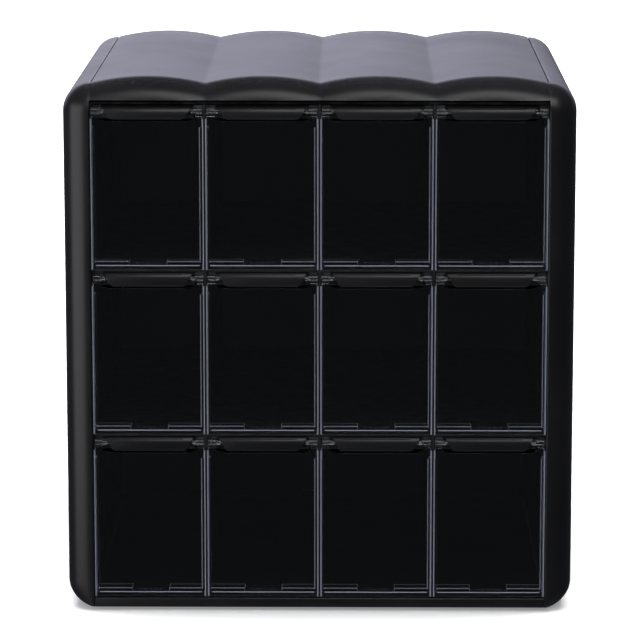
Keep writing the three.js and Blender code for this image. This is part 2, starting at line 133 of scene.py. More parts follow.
class Finish:
    """A net of nodes being built: node() adds one, feed() links a value into the surface."""

    def __init__(self, owner, surface):
        owner.use_nodes = True
        self.tree = owner.node_tree
        self.surface = self.tree.nodes[surface]

    def put(self, socket, value):
        if isinstance(value, Value):
            self.tree.links.new(value.socket, socket)
        else:
            socket.default_value = value

    def node(self, kind, settings=None, inputs=None, output=0):
        made = self.tree.nodes.new(kind)
        for name, setting in (settings or {}).items():
            setattr(made, name, setting)
        for name, value in (inputs or {}).items():
            self.put(made.inputs[name], value)
        return Value(self, made.outputs[output])

    def feed(self, **values):
        for name, value in values.items():
            self.put(self.surface.inputs[name.replace("_", " ")], value)

    def place(self, stretch=(1, 1, 1)):
        """Where a point is on its piece, in metres, stretched for patterns with a direction."""
        here = self.node("ShaderNodeTexCoord", output="Object")
        return self.node("ShaderNodeMapping", None, {"Vector": here, "Scale": stretch})

    def noise(self, scale, detail=2, stretch=(1, 1, 1)):
        sockets = {"Vector": self.place(stretch), "Scale": scale, "Detail": detail}
        return self.node("ShaderNodeTexNoise", None, sockets)

    def between(self, value, low, high, start=0.0, end=1.0):
        """Maps low..high of a value smoothly to start..end."""
        sockets = {"Value": value, 1: low, 2: high, 3: start, 4: end}
        return self.node("ShaderNodeMapRange", {"interpolation_type": "SMOOTHSTEP"}, sockets)

    def blend(self, share, first, second):
        """A colour between two colours."""
        sockets = {0: share, 6: (*first, 1) if isinstance(first, tuple) else first, 7: (*second, 1)}
        return self.node("ShaderNodeMix", {"data_type": "RGBA"}, sockets, output=2)

    def relief(self, height, depth, below=None):
        """A bump of that depth in metres, on top of another where one is given."""
        sockets = {"Height": height, "Distance": depth, "Strength": 1.0}
        if below is not None:
            sockets["Normal"] = below
        return self.node("ShaderNodeBump", None, sockets)


def new_finish(name):
    material = bpy.data.materials.new(name)
    return material, Finish(material, "Principled BSDF")


# %% [markdown]
# ## Moulded black plastic
# The shells are polystyrene from a spark-eroded mould, which leaves a fine even grain, a
# satin sheen and slow waves that only a reflection shows. Handling leaves pale scuffs along
# the edges and the odd hairline. Dust settles on what faces up, and its paler patches also
# stand in as a painted sheen that lightens the top. The same recipe with a duller, darker
# setting does for the boards inside, and a darker one still, painted shade, for the top
# deck, whose front edge lies in the gap under the fascia.

# %% Moulded black plastic
def moulded_plastic(name, tone, sheen, grain_depth, dust_and_top_light, gloss=0.5):
    """Grained plastic: tone is its colour, sheen its roughness, dust_and_top_light how much dust
    lies on what faces up, which also paints a lighter top.
    """
    material, finish = new_finish(name)
    grain = finish.noise(2400, 3)
    peel = finish.noise(260, 2)
    cloud = finish.noise(14, 3)
    hairline = finish.between(finish.noise(60, 4, (1, 14, 1)), 0.63, 0.7)
    worn = finish.between(finish.node("ShaderNodeNewGeometry", output="Pointiness"), 0.52, 0.6)
    worn = worn * finish.between(finish.noise(90, 3), 0.35, 0.7)
    up = finish.node("ShaderNodeNewGeometry", output="Normal")
    up = finish.node("ShaderNodeSeparateXYZ", None, {0: up}, output=2)
    # dust on up-facing faces; its paler colour also paints a lighter top as a painted sheen
    dust_and_painted_top_light = finish.between(up, 0.6, 1.0) * finish.between(finish.noise(420, 4), 0.4, 0.75) * dust_and_top_light
    pale = tuple(3.2 * part + 0.02 for part in tone)
    deep = tuple(0.72 * part for part in tone)
    colour = finish.blend(finish.between(cloud, 0.3, 0.7), deep, tone)
    colour = finish.blend(worn * 0.45, colour, pale)
    # dust colour, which also serves as painted sheen on the top
    colour = finish.blend(dust_and_painted_top_light, colour, (0.16, 0.155, 0.16))
    roughness = sheen + (cloud - 0.5) * 0.1 + hairline * 0.05 + dust_and_painted_top_light * 0.25 - worn * 0.08
    waves = finish.relief(peel, 0.00002)
    finish.feed(
        Base_Color=colour,
        Roughness=roughness,
        Normal=finish.relief(grain, grain_depth, waves),
        Specular_IOR_Level=gloss,
    )
    print("finish", name)
    return material


case_black = moulded_plastic("case_black", (0.0095, 0.0092, 0.0105), 0.33, 0.00003, 0.10)
panel_black = moulded_plastic("panel_black", (0.0075, 0.0078, 0.0085), 0.5, 0.00002, 0.04)
# darker tone: painted shade for the deck's front edge in the gap under the fascia
deck_painted_shade = moulded_plastic("deck_painted_shade", (0.003, 0.003, 0.0035), 0.85, 0.00002, 0.02, gloss=0.1)

# %% [markdown]
# ## Clear plastic
# The doors are clear polystyrene. Their faces let light straight through and only show
# faint smears and fine scratches. Their rims and flange edges come out of the mould a
# little frosted. Their own finish paints them as pale, cold lines: a paler tint and a faint
# painted glow, which stands for light piped along the wall to its edges. The line along the
# foot of the bottom flanges, where two walls meet, has a paler tint and a brighter glow.

# %% Clear plastic
def clear_plastic(name, tint, through, sheen, smear, glow=0.0):
    """Clear plastic: through is how much light passes, glow a painted glow for light piped to the
    edges.
    """
    material, finish = new_finish(name)
    handled = finish.between(finish.noise(22, 4), 0.45, 0.75)
    scratch = finish.between(finish.noise(55, 5, (1, 1, 16)), 0.62, 0.68)
    shade = tuple(0.94 * part for part in tint)
    finish.feed(
        Base_Color=finish.blend(handled, tint, shade),
        Roughness=sheen + handled * smear + scratch * smear,
        Normal=finish.relief(finish.noise(45, 2), 0.00002),
        IOR=1.5,
        Transmission_Weight=through,
        # painted glow: emission on rims and lips, which are no lamp
        Emission_Color=(0.72, 0.80, 1.0, 1),
        Emission_Strength=glow,
    )
    print("finish", name)
    return material


door_clear = clear_plastic("door_clear", (0.96, 0.97, 1.0), 1.0, 0.02, 0.06)
# rims and flange lines: frosted tint with a painted glow, so they show as pale lines of light
door_rim_painted_glow = clear_plastic("door_rim_painted_glow", (0.45, 0.48, 0.57), 0.35, 0.35, 0.1, 0.035)
door_lip_painted_glow = clear_plastic("door_lip_painted_glow", (0.66, 0.69, 0.78), 0.25, 0.35, 0.1, 0.12)

# %% [markdown]
# ## Rubber and screw steel
# The feet are matt rubber with a chalky bloom, and the screws are black-finished steel
# whose coating is rubbed through to bright metal on the edges of the head.

# %% Rubber and screw steel
def rubber(name):
    material, finish = new_finish(name)
    bloom = finish.between(finish.noise(70, 4), 0.4, 0.75)
    finish.feed(
        Base_Color=finish.blend(bloom, (0.012, 0.012, 0.012), (0.04, 0.04, 0.042)),
        Roughness=0.72 + bloom * 0.2,
        Normal=finish.relief(finish.noise(1500, 3), 0.00005),
    )
    return material


def screw_steel(name):
    material, finish = new_finish(name)
    rubbed = finish.between(finish.node("ShaderNodeNewGeometry", output="Pointiness"), 0.53, 0.62)
    stain = finish.noise(900, 3)
    finish.feed(
        Base_Color=finish.blend(rubbed, (0.03, 0.03, 0.032), (0.42, 0.41, 0.4)),
        Metallic=0.85 + rubbed * 0.15,
        Roughness=0.38 + stain * 0.18 - rubbed * 0.1,
        Normal=finish.relief(stain, 0.00003),
    )
    return material


foot_rubber, screw_black = rubber("foot_rubber"), screw_steel("screw_black")
print("finishes", foot_rubber.name, screw_black.name)

# %% [markdown]
# ## Bench tools
# Modelling in a script is the same work as by hand: add a primitive, pick some of its
# faces or edges, and use an operator on them. Picking is done by place and direction
# instead of with the mouse. These helpers keep the cells below short. The first ones
# choose a piece and add a primitive.

# %% Bench tools: choosing and adding
NEAR = 0.00001  # places closer than this count as the same


def put_down():
    """Leaves edit mode and selects nothing."""
    if bpy.context.object and bpy.context.object.mode != "OBJECT":
        bpy.ops.object.mode_set(mode="OBJECT")
    bpy.ops.object.select_all(action="DESELECT")


def take(*pieces):
    """Selects these pieces; the first is the one worked on."""
    put_down()
    for piece in pieces:
        piece.select_set(True)
    bpy.context.view_layer.objects.active = pieces[0]


def block(name, low, high):
    """A cube primitive between two corners, its place in its mesh."""
    put_down()
    low, high = Vector(low), Vector(high)
    bpy.ops.mesh.primitive_cube_add(size=1, location=(low + high) / 2)
    piece = bpy.context.object
    piece.name = name
    piece.scale = high - low
    bpy.ops.object.transform_apply(location=True, rotation=True, scale=True)
    return piece


def rod(name, radius, start, end, sides=32):
    """A cylinder primitive from start to end, which lie on one axis."""
    put_down()
    start, end = Vector(start), Vector(end)
    line = end - start
    turn = line.to_track_quat("Z", "Y").to_euler()
    bpy.ops.mesh.primitive_cylinder_add(
        vertices=sides, radius=radius, depth=line.length, location=(start + end) / 2, rotation=turn
    )
    piece = bpy.context.object
    piece.name = name
    bpy.ops.object.transform_apply(location=True, rotation=True, scale=True)
    return piece


# %% [markdown]
# Next come picking, cutting and pulling. A pick is made anew for each operator, because
# every operator changes what is selected.

# %% Bench tools: picking, cutting and pulling
def pick(piece, kind, wanted):
    """In edit mode, selects each VERT, EDGE or FACE for which wanted(...) is true."""
    if bpy.context.object != piece or piece.mode != "EDIT":
        take(piece)
        bpy.ops.object.mode_set(mode="EDIT")
    bpy.ops.mesh.select_mode(type=kind)
    bpy.ops.mesh.select_all(action="DESELECT")
    mesh = bmesh.from_edit_mesh(piece.data)
    parts = {"VERT": mesh.verts, "EDGE": mesh.edges, "FACE": mesh.faces}[kind]
    parts.ensure_lookup_table()
    count = 0
    for part in parts:
        if kind == "VERT":
            chosen = wanted(part.co)
        elif kind == "EDGE":
            chosen = wanted(part.verts[0].co, part.verts[1].co)
        else:
            chosen = wanted(part.calc_center_median(), part.normal)
        if chosen:
            part.select_set(True)
            count += 1
    bmesh.update_edit_mesh(piece.data)
    return count


def slice_at(piece, axis, *places):
    """Cuts new edges round a piece where an axis, 0 to 2, has each of these values."""
    direction = [float(axis == i) for i in range(3)]
    for place in places:
        pick(piece, "FACE", lambda middle, normal: True)
        point = [place * part for part in direction]
        bpy.ops.mesh.bisect(plane_co=point, plane_no=direction)


def pull(by):
    """Extrudes the picked faces by a vector in metres."""
    bpy.ops.mesh.extrude_region_move(TRANSFORM_OT_translate={"value": by})


# %% [markdown]
# A thin moulding starts as a flat grid that is laid over a form. Which side of it faces
# out is measured, and turned round if it is the wrong one.

# %% Bench tools: bent sheets
def bent_sheet(name, rows, outward):
    """A grid primitive laid over a form: rows of points, with outward as a point outside."""
    put_down()
    across, along = len(rows[0]), len(rows)
    bpy.ops.mesh.primitive_grid_add(x_subdivisions=across - 1, y_subdivisions=along - 1, size=1)
    piece = bpy.context.object
    piece.name = name
    for corner in piece.data.vertices:
        column = round((corner.co.x + 0.5) * (across - 1))
        row = round((corner.co.y + 0.5) * (along - 1))
        corner.co = rows[row][column]
    piece.data.update()
    pick(piece, "FACE", lambda middle, normal: True)
    bpy.ops.mesh.remove_doubles(threshold=0.00002)
    put_down()
    facing = sum(f.area * f.normal.dot(Vector(outward) - f.center) for f in piece.data.polygons)
    if facing < 0:
        pick(piece, "FACE", lambda middle, normal: True)
        bpy.ops.mesh.flip_normals()
        put_down()
    return piece


# %% [markdown]
# Last, modifiers are added and applied in one go, and a finished piece is smoothed, given
# its finish and told which body it rides on.

# %% Bench tools: finishing a piece
def modify(piece, kind, **settings):
    """Adds a modifier and applies it."""
    take(piece)
    modifier = piece.modifiers.new("work", kind)
    for name, value in settings.items():
        setattr(modifier, name, value)
    bpy.ops.object.modifier_apply(modifier="work")


def round_edges(piece, width, steps=2, angle=35):
    """Rounds every edge sharper than the angle."""
    modify(
        piece, "BEVEL", width=width, segments=steps, limit_method="ANGLE",
        angle_limit=math.radians(angle), miter_outer="MITER_ARC", harden_normals=False,
    )


def hand_over(piece, body, slot, materials, *nodes, angle=30):
    """Finishes a piece: smooth shading, finish, the body it rides on and what it replaces."""
    take(piece)
    bpy.ops.object.shade_smooth_by_angle(angle=math.radians(angle))
    if not piece.data.materials:
        for material in materials:
            piece.data.materials.append(material)
    put_down()
    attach(piece, body)
    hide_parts(*nodes)
    print(piece.name, len(piece.data.polygons), "faces")
    return piece


# %% [markdown]
# ## Side shells
# Each side of the case is one thin moulding that wraps round the top and bottom corners
# and rolls over at the front into a lip beside the doors. It could be carved from a
# block, but a real shell is a sheet with a constant wall, so a grid is laid over the
# form row by row, from the rear edge to the lip, and Solidify gives it its wall.

# %% The outline of a side shell
CORNER_STEPS = 16
SIDE_STEPS = 24
ROLL_STEPS = 16


def side_outline(inset, foot_inset):
    """Points of the left shell's section, from its top inner edge round to its bottom one."""
    points = []
    for step in range(CORNER_STEPS + 1):
        angle = math.pi / 2 * (1 + step / CORNER_STEPS)
        x = -INNER_HALF + (CORNER - inset) * math.cos(angle)
        points.append((x, VALLEY - CORNER + (CORNER - inset) * math.sin(angle)))
    foot_z = SHELL_BOTTOM + CORNER
    top_z = VALLEY - CORNER
    for step in range(1, SIDE_STEPS):
        points.append((-HALF_WIDTH + inset, top_z + (foot_z - top_z) * step / SIDE_STEPS))
    for step in range(CORNER_STEPS + 1):
        angle = math.pi * (1 + step / CORNER_STEPS / 2)
        x = -INNER_HALF + (CORNER - inset) * math.cos(angle)
        points.append((x, foot_z + (CORNER - foot_inset) * math.sin(angle)))
    return points


# %% Side shells
LENGTH_STEPS = 8
LIP_REAR = FRONT + 0.0088
LIP_ROUND = 0.0007


def side_shell(name, side):
    """One shell; side is -1 for the left one and 1 for the right one."""
    rows = []
    for step in range(LENGTH_STEPS + 1):
        y = REAR + (FRONT + FRONT_ROLL - REAR) * step / LENGTH_STEPS
        rows.append([(x, y, z) for x, z in side_outline(0, 0)])
    for step in range(1, ROLL_STEPS + 1):
        angle = math.pi / 2 * step / ROLL_STEPS
        shrink = 1 - math.cos(angle)
        y = FRONT + FRONT_ROLL * (1 - math.sin(angle))
        outline = side_outline(FRONT_ROLL * shrink, FOOT_ROLL * shrink)
        rows.append([(x, y, z) for x, z in outline])
    rows.append([(-INNER_HALF, FRONT, z) for x, y, z in rows[-1]])
    rows.append([(-INNER_HALF, LIP_REAR, z) for x, y, z in rows[-1]])
    rows = [[(-side * x, y, z) for x, y, z in row] for row in rows]
    shell = bent_sheet(name, rows, (side * 2, 0, 0.2))
    modify(shell, "SOLIDIFY", thickness=SKIN, offset=-1, use_even_offset=True)
    at_lip = lambda a, b: max(abs(abs(v.x) - INNER_HALF) for v in (a, b)) < NEAR
    pick(shell, "EDGE", lambda a, b: at_lip(a, b) and max(a.y, b.y) < FRONT + NEAR)
    bpy.ops.mesh.bevel(offset=LIP_ROUND, segments=3)
    put_down()
    return shell


for name, side in (("left", -1), ("right", 1)):
    shell = side_shell(f"shell_{name}", side)
    hand_over(shell, "case", "case_black", [case_black], f"side_shell_{name}", angle=40)

# %% [markdown]
# ## Top cover
# The cover is a second sheet. Along the front its four shallow arches roll down into a
# fascia, and each side ends in a fine step, which makes the dark seam beside the shells.
# The valley between two arches is a soft crease, because no mould has a knife edge.

# %% The arches
RISE = CREST - VALLEY
ARCH_RADIUS = (PITCH ** 2 / 4 + RISE ** 2) / (2 * RISE)
CREASE = 0.0022
SLOPE = (PITCH / 2) / math.sqrt(ARCH_RADIUS ** 2 - PITCH ** 2 / 4)
VALLEY_SHARES = (0, 0.0007, 0.0015, 0.0024, 0.005, 0.009)
ARCH_STEPS, ARCH_START = 14, 0.014


def arch_z(x):
    """Height of the cover at x."""
    column = min(COLUMNS - 1, max(0, int((x + INNER_HALF) / PITCH)))
    across = x + INNER_HALF - (column + 0.5) * PITCH
    to_valley = PITCH / 2 - abs(across)
    at_edge = abs(x) > INNER_HALF - PITCH / 2
    outer_valley = at_edge and across * x > 0
    if to_valley < CREASE and not outer_valley:
        return VALLEY + SLOPE * (to_valley ** 2 + CREASE ** 2) / (2 * CREASE)
    return VALLEY + RISE - ARCH_RADIUS + math.sqrt(ARCH_RADIUS ** 2 - across ** 2)


def arch_columns(edge):
    """Places across the cover, close together at each valley."""
    places = set()
    for column in range(COLUMNS):
        start = -INNER_HALF + column * PITCH
        for share in VALLEY_SHARES:
            places.update((start + share, start + PITCH - share))
        for step in range(ARCH_STEPS + 1):
            places.add(start + ARCH_START + (PITCH - 2 * ARCH_START) * step / ARCH_STEPS)
    return sorted(round(x, 6) for x in places if abs(x) < edge - 0.0001)


print("arches", round(1000 * RISE, 1), "mm high, radius", round(1000 * ARCH_RADIUS), "mm")

# %% Top cover
SEAM_WIDTH, SEAM_DEPTH = 0.0007, 0.0015
SEAM_END = FRONT + FRONT_ROLL + 0.003
inner_edge = COVER_HALF - SEAM_WIDTH
middle = [-inner_edge, *arch_columns(inner_edge), inner_edge]


def cover_row(y, seam, share=0.0):
    """One row of the cover; share is how far the roll has turned at the front."""
    edge = COVER_HALF if seam > 0 else INNER_HALF  # the seam closes up along the roll
    row = []
    for x in middle:
        top = arch_z(x)
        turn = share * math.acos(1 - min(1, (top - FASCIA_BOTTOM) / FRONT_ROLL))
        place = y if share == 0 else FRONT + FRONT_ROLL * (1 - math.sin(turn))
        row.append((x, place, top - FRONT_ROLL * (1 - math.cos(turn))))
    for side in (-1, 1):
        x, place, top = row[0] if side < 0 else row[-1]
        step = SEAM_DEPTH * seam
        wall = [
            (x + side * SEAM_WIDTH * 0.1, place, top - step),
            (side * edge, place, top - step),
            (side * edge, place, min(top, FASCIA_BOTTOM)),
        ]
        row = wall[::-1] + row if side < 0 else row + wall
    return row


rows = []
for step in range(LENGTH_STEPS + 1):
    rows.append(cover_row(REAR + (SEAM_END - REAR) * step / LENGTH_STEPS, 1))
rows += [cover_row(SEAM_END - 0.0008, 0.35), cover_row(FRONT + FRONT_ROLL, 0)]
rows += [cover_row(0, 0, step / ROLL_STEPS) for step in range(1, ROLL_STEPS + 1)]
cover = bent_sheet("scalloped_cover", rows, (0, -0.5, 3))
modify(cover, "SOLIDIFY", thickness=SKIN, offset=-1, use_even_offset=True)
hand_over(cover, "case", "case_black", [case_black], "top_cover", angle=40)

# %% [markdown]
# ## Base with its skirt
# Below the doors a narrow skirt closes the front. It is one moulding with the base
# board: a strip whose back face is cut into bands, one of which is pulled back to
# become the board and one, lower down, to become the fold that stiffens the skirt.

# %% Base with its skirt
BOARD_TOP, BOARD_BOTTOM = 0.0014, 0.0034
BOARD_GAP = 0.001
SKIRT_WALL, FOLD = 0.0027, 0.0025
base_low, base_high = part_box("base_panel")
board_top, board_bottom = base_high.z - BOARD_TOP, base_high.z - BOARD_BOTTOM
skirt_back = base_low.y + SKIRT_WALL
base = block("base_and_skirt", base_low, (base_high.x, skirt_back, base_high.z))
slice_at(base, 2, board_bottom, board_top)
is_board = lambda c, n: n.y > 0.9 and board_bottom < c.z < board_top
pick(base, "FACE", is_board)
pull((0, BOARD_GAP, 0))
narrow = (base_high.x - BOARD_GAP) / base_high.x
bpy.ops.transform.resize(value=(narrow, 1, 1), center_override=(0, 0, 0))
pull((0, base_high.y - skirt_back - BOARD_GAP, 0))
pick(base, "FACE", lambda c, n: n.y > 0.9 and c.z < board_bottom)
pull((0, FOLD, 0))
round_edges(base, 0.0007, 3)
hand_over(base, "case", "case_black", [case_black], "base_panel")

# %% [markdown]
# ## Hinge rails and their valances
# Under each boundary a rail carries four trapezium valances, which hide the hinge pins.
# A valance starts as a block whose lower edge is drawn in and whose front leans back.
# Its underside is inset and pushed up to make it hollow, as a moulding is. Then its lower
# corners are rounded, and its front ends in a broad roll at the top, which draws a soft
# line of light, and a small one below.

# %% A valance
VALANCE_TOP, VALANCE_BOTTOM = 0.0386, 0.0305
VALANCE_CORNER = 0.003
VALANCE_WALL = 0.0021
HOLLOW = 0.75
LEAN = 0.0024
TOP_ROLL, LOWER_ROLL = 0.0065, 0.0018


def valance(name, x, top, bottom, front, back):
    """One valance, its middle at x."""
    piece = block(name, (x - VALANCE_TOP, front, bottom), (x + VALANCE_TOP, back, top))
    middle_z = (top + bottom) / 2
    pick(piece, "VERT", lambda co: co.z < middle_z)
    narrow = VALANCE_BOTTOM / VALANCE_TOP
    bpy.ops.transform.resize(value=(narrow, 1, 1), center_override=(x, 0, 0))
    pick(piece, "VERT", lambda co: co.z > middle_z and co.y < front + NEAR)
    bpy.ops.transform.translate(value=(0, LEAN, 0))
    pick(piece, "FACE", lambda c, n: n.z < -0.9)
    bpy.ops.mesh.inset(thickness=VALANCE_WALL, depth=0)
    pull((0, 0, (top - bottom) * HOLLOW))

    def lower_corner(a, b):
        level = max(a.z, b.z) < bottom + NEAR and abs(a.x - b.x) < NEAR
        return level and abs(abs(a.x - x) - VALANCE_BOTTOM) < NEAR

    def top_front(a, b):
        return min(a.z, b.z) > top - NEAR and max(a.y, b.y) < front + LEAN + NEAR

    def lower_front(a, b):
        return max(a.z, b.z) < bottom + VALANCE_CORNER + 0.0001 and max(a.y, b.y) < front + NEAR

    pick(piece, "EDGE", lower_corner)
    bpy.ops.mesh.bevel(offset=VALANCE_CORNER, segments=5)
    pick(piece, "EDGE", top_front)
    bpy.ops.mesh.bevel(offset=TOP_ROLL, segments=12)
    pick(piece, "EDGE", lower_front)
    bpy.ops.mesh.bevel(offset=LOWER_ROLL, segments=6)
    put_down()
    round_edges(piece, 0.0008, 3, 40)
    return piece


# %% Hinge rails
BAR_WALL, BAR_DROP = 0.0035, 0.0012
VALANCE_DROP, VALANCE_OVERLAP = 0.0003, 0.0025

for rail_name in ("lower", "middle", "upper"):
    node = f"hinge_rail_{rail_name}"
    low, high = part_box(node)
    bar_low = (low.x, high.y - BAR_WALL, low.z)
    bar = block(f"rail_{rail_name}", bar_low, (high.x, high.y, high.z - BAR_DROP))
    round_edges(bar, 0.0005)
    parts = []
    for column in range(COLUMNS):
        x = -INNER_HALF + (column + 0.5) * PITCH
        top, back = high.z - VALANCE_DROP, high.y - VALANCE_OVERLAP
        parts.append(valance("valance", x, top, low.z, low.y, back))
    take(bar, *parts)
    bpy.ops.object.join()
    hand_over(bar, "case", "case_black", [case_black], node)

# %% [markdown]
# ## Doors
# A door is a shallow clear tray: a sheet with a flange down each side, two along the
# bottom with a finger notch between them, and a knuckle with its pin at each top corner.
# The sheet is a thin block, cut into strips where the flanges stand; the strips are
# pulled back. Knuckles, pins and grip ribs are united with it, as they are one moulding.
# One door is made round its own pivot and copied, each copy with its own mesh.

# %% One door: the tray
PIVOT_Y = FRONT + 0.0058
KNUCKLE = 0.0048
KNUCKLE_IN, KNUCKLE_OUT = 0.0394, 0.0462
PIN, PIN_TIP = 0.002, 0.0315
ARM_TOP = -0.0063
SHEET_FRONT, SHEET_BACK = -0.0048, -0.0028
SIDE_WALL, SIDE_DEPTH = 0.0018, 0.010
FOOT_WALL, FOOT_DEPTH, FOOT_RISE = 0.0017, 0.007, 0.0042
NOTCH_HALF = 0.0156
CUT_HALF, CUT_DROP = 0.033, 0.002
door_half = (door_high.x - door_low.x) / 2
door_bottom = door_low.z - (door_high.z - KNUCKLE)
flange_low = door_bottom + FOOT_RISE
flange_top = ARM_TOP - 0.007
flange_in = KNUCKLE_OUT - SIDE_WALL

tray = block("door", (-door_half, SHEET_FRONT, door_bottom), (door_half, SHEET_BACK, ARM_TOP))
for x in (NOTCH_HALF, CUT_HALF, KNUCKLE_IN, flange_in, KNUCKLE_OUT):
    slice_at(tray, 0, -x, x)
slice_at(tray, 2, flange_low, flange_low + FOOT_WALL, flange_top)
pick(tray, "VERT", lambda co: co.z > ARM_TOP - NEAR and abs(co.x) < CUT_HALF + 0.0001)
bpy.ops.transform.translate(value=(0, 0, -CUT_DROP))


def on_foot(c, n):
    level = flange_low < c.z < flange_low + FOOT_WALL
    return n.y > 0.9 and level and NOTCH_HALF < abs(c.x) < KNUCKLE_OUT


def on_flange(c, n):
    side = flange_in < abs(c.x) < KNUCKLE_OUT and flange_low < c.z < flange_top
    return n.y > 0.9 and (side or on_foot(c, n))


def on_arm(c, n):
    return n.z > 0.9 and c.z > ARM_TOP - 0.0001 and KNUCKLE_IN < abs(c.x) < KNUCKLE_OUT


pick(tray, "FACE", on_flange)
pull((0, SIDE_DEPTH, 0))
pick(tray, "FACE", on_foot)
pull((0, FOOT_DEPTH, 0))
pick(tray, "FACE", on_arm)
pull((0, 0, -ARM_TOP))
put_down()
print("door tray", len(tray.data.polygons), "faces")

# %% One door: knuckles, pins and grip ribs
RIBS, RIB_PITCH, RIB_HALF = 5, 0.0046, 0.0008
RIB_OUT, RIB_IN, RIB_LOW, RIB_HIGH = 0.0007, 0.0005, 0.002, 0.0065
PIN_INSIDE = 0.001
RIM_ROUND = 0.00045

extras = []
for side in (-1, 1):
    inner, outer = (side * KNUCKLE_IN, 0, 0), (side * KNUCKLE_OUT, 0, 0)
    extras.append(rod("knuckle", KNUCKLE, inner, outer, 40))
    pin_root = (side * (KNUCKLE_IN + PIN_INSIDE), 0, 0)
    extras.append(rod("pin", PIN, (side * PIN_TIP, 0, 0), pin_root, 24))
for rib in range(RIBS):
    x = (rib - (RIBS - 1) / 2) * RIB_PITCH
    rib_low = (x - RIB_HALF, SHEET_FRONT - RIB_OUT, door_bottom + RIB_LOW)
    rib_high = (x + RIB_HALF, SHEET_FRONT + RIB_IN, door_bottom + RIB_HIGH)
    extras.append(block("rib", rib_low, rib_high))
for extra in extras:
    modify(tray, "BOOLEAN", operation="UNION", solver="EXACT", object=extra)
for extra in extras:
    bpy.data.objects.remove(extra)
pick(tray, "FACE", lambda middle, normal: True)
bpy.ops.mesh.remove_doubles(threshold=NEAR)
bpy.ops.mesh.dissolve_limited(angle_limit=math.radians(1))
put_down()
round_edges(tray, RIM_ROUND, 2, 40)
print("one door", len(tray.data.polygons), "faces")

# %% [markdown]
# ## The painted bright edges of a door
# Each face of the door gets one of three finishes by its place and size. Narrow faces are
# rims, with a painted glow. Fine strips of the sheet's back beside the flanges get the same
# painted glow, as light showing through, so the back is cut there and along the foot of the
# bottom flanges, whose lower line gets the brighter one. The knuckles stay clear.

# %% One door: which faces are edges
tray.data.materials.append(door_clear)
tray.data.materials.append(door_rim_painted_glow)
tray.data.materials.append(door_lip_painted_glow)
RIM_WIDTH = 0.0006
PIN_ZONE = 0.0055
STRIP_OUT, STRIP_IN, STRIP = 0.0006, 0.0013, 0.0008
LIP = 0.0008
fillet_low, fillet_high = flange_low - 0.0005, flange_low + 0.0022
for x in (door_half - STRIP_OUT, door_half - STRIP_IN, flange_in - STRIP):
    slice_at(tray, 0, -x, x)
slice_at(tray, 0, -NOTCH_HALF - 0.0005, NOTCH_HALF + 0.0005)
slice_at(tray, 2, fillet_low - LIP, fillet_low, fillet_high, fillet_high + LIP)
put_down()


def edge_kind(face):
    """0 for a clear face, 1 for a rim with a painted glow and 2 for the brighter painted lines
    along the bottom flanges.
    """
    place = face.center
    x = abs(place.x)
    corners = [tray.data.vertices[v].co for v in face.vertices]
    spans = sorted(max(c[i] for c in corners) - min(c[i] for c in corners) for i in range(3))
    on_back = abs(place.y - SHEET_BACK) < 0.0006 and face.normal.y > 0.1
    beside_flange = flange_in - STRIP < x < flange_in
    side_strip = beside_flange or door_half - STRIP_IN < x < door_half - STRIP_OUT
    if place.z > -PIN_ZONE:
        return 0
    if on_back and fillet_low - LIP < place.z < fillet_low and x < flange_in:
        return 2
    if on_back and fillet_high < place.z < fillet_high + LIP and NOTCH_HALF < x < flange_in:
        return 1
    flat = abs(face.normal.y) > 0.98 and x < door_half - STRIP_IN
    return int((spans[1] < RIM_WIDTH and not flat) or (on_back and side_strip))


for face in tray.data.polygons:
    face.material_index = edge_kind(face)
print("rim faces", sum(face.material_index > 0 for face in tray.data.polygons))

# %% Twelve doors
for row, row_name in enumerate(ROW_NAMES):
    for column in range(COLUMNS):
        node = f"door_{row_name}_{column + 1}"
        low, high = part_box(node)
        door = tray.copy()
        door.data = tray.data.copy()
        door.name = f"clear_{node}"
        bpy.context.scene.collection.objects.link(door)
        pivot = Vector(((low.x + high.x) / 2, PIVOT_Y, high.z - KNUCKLE))
        for corner in door.data.vertices:
            corner.co += pivot
        hand_over(door, node, "door_clear", [], node, angle=12)
bpy.data.objects.remove(tray)

# %% [markdown]
# ## Back panel, screws and feet
# The back panel fills the rear rim and follows the arches. It is a grid laid flat whose
# top and bottom rows follow the outline. The screws and feet start as cylinders.

# %% Back panel
panel_low, panel_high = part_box("back_panel")
RIM = -shell_low.x - panel_high.x


def panel_span(x):
    """Lowest and highest point of the back panel at x."""
    out = max(0, abs(x) - INNER_HALF) / (panel_high.x - INNER_HALF)
    drop = (CORNER - RIM) * (1 - math.sqrt(max(0, 1 - out ** 2)))
    inside = min(abs(x), COVER_HALF - 0.003)
    top = arch_z(math.copysign(inside, x)) if abs(x) < COVER_HALF else VALLEY
    return SHELL_BOTTOM + RIM + drop, top - RIM - drop


PANEL_STEPS = 12
across = [-panel_high.x + 0.0002 * step ** 2 for step in range(10)]
across += arch_columns(INNER_HALF - 0.002)
across = sorted({round(v, 6) for x in across for v in (x, -x)})
rows = []
for step in range(PANEL_STEPS + 1):
    row = []
    for x in across:
        bottom, top = panel_span(x)
        row.append((x, panel_high.y, bottom + (top - bottom) * step / PANEL_STEPS))
    rows.append(row)
back = bent_sheet("rear_panel", rows, (0, 3, 0.2))
modify(back, "SOLIDIFY", thickness=panel_high.y - panel_low.y, offset=-1)
round_edges(back, 0.0004, 2, 50)
hand_over(back, "case", "panel_black", [panel_black], "back_panel")

# %% Screws
HEAD, HEAD_HEIGHT = 0.0032, 0.002
SHANK, SHANK_LENGTH = 0.0015, 0.010
SLOT_LONG, SLOT_NARROW, SLOT_DEPTH = 0.0018, 0.00045, 0.0011

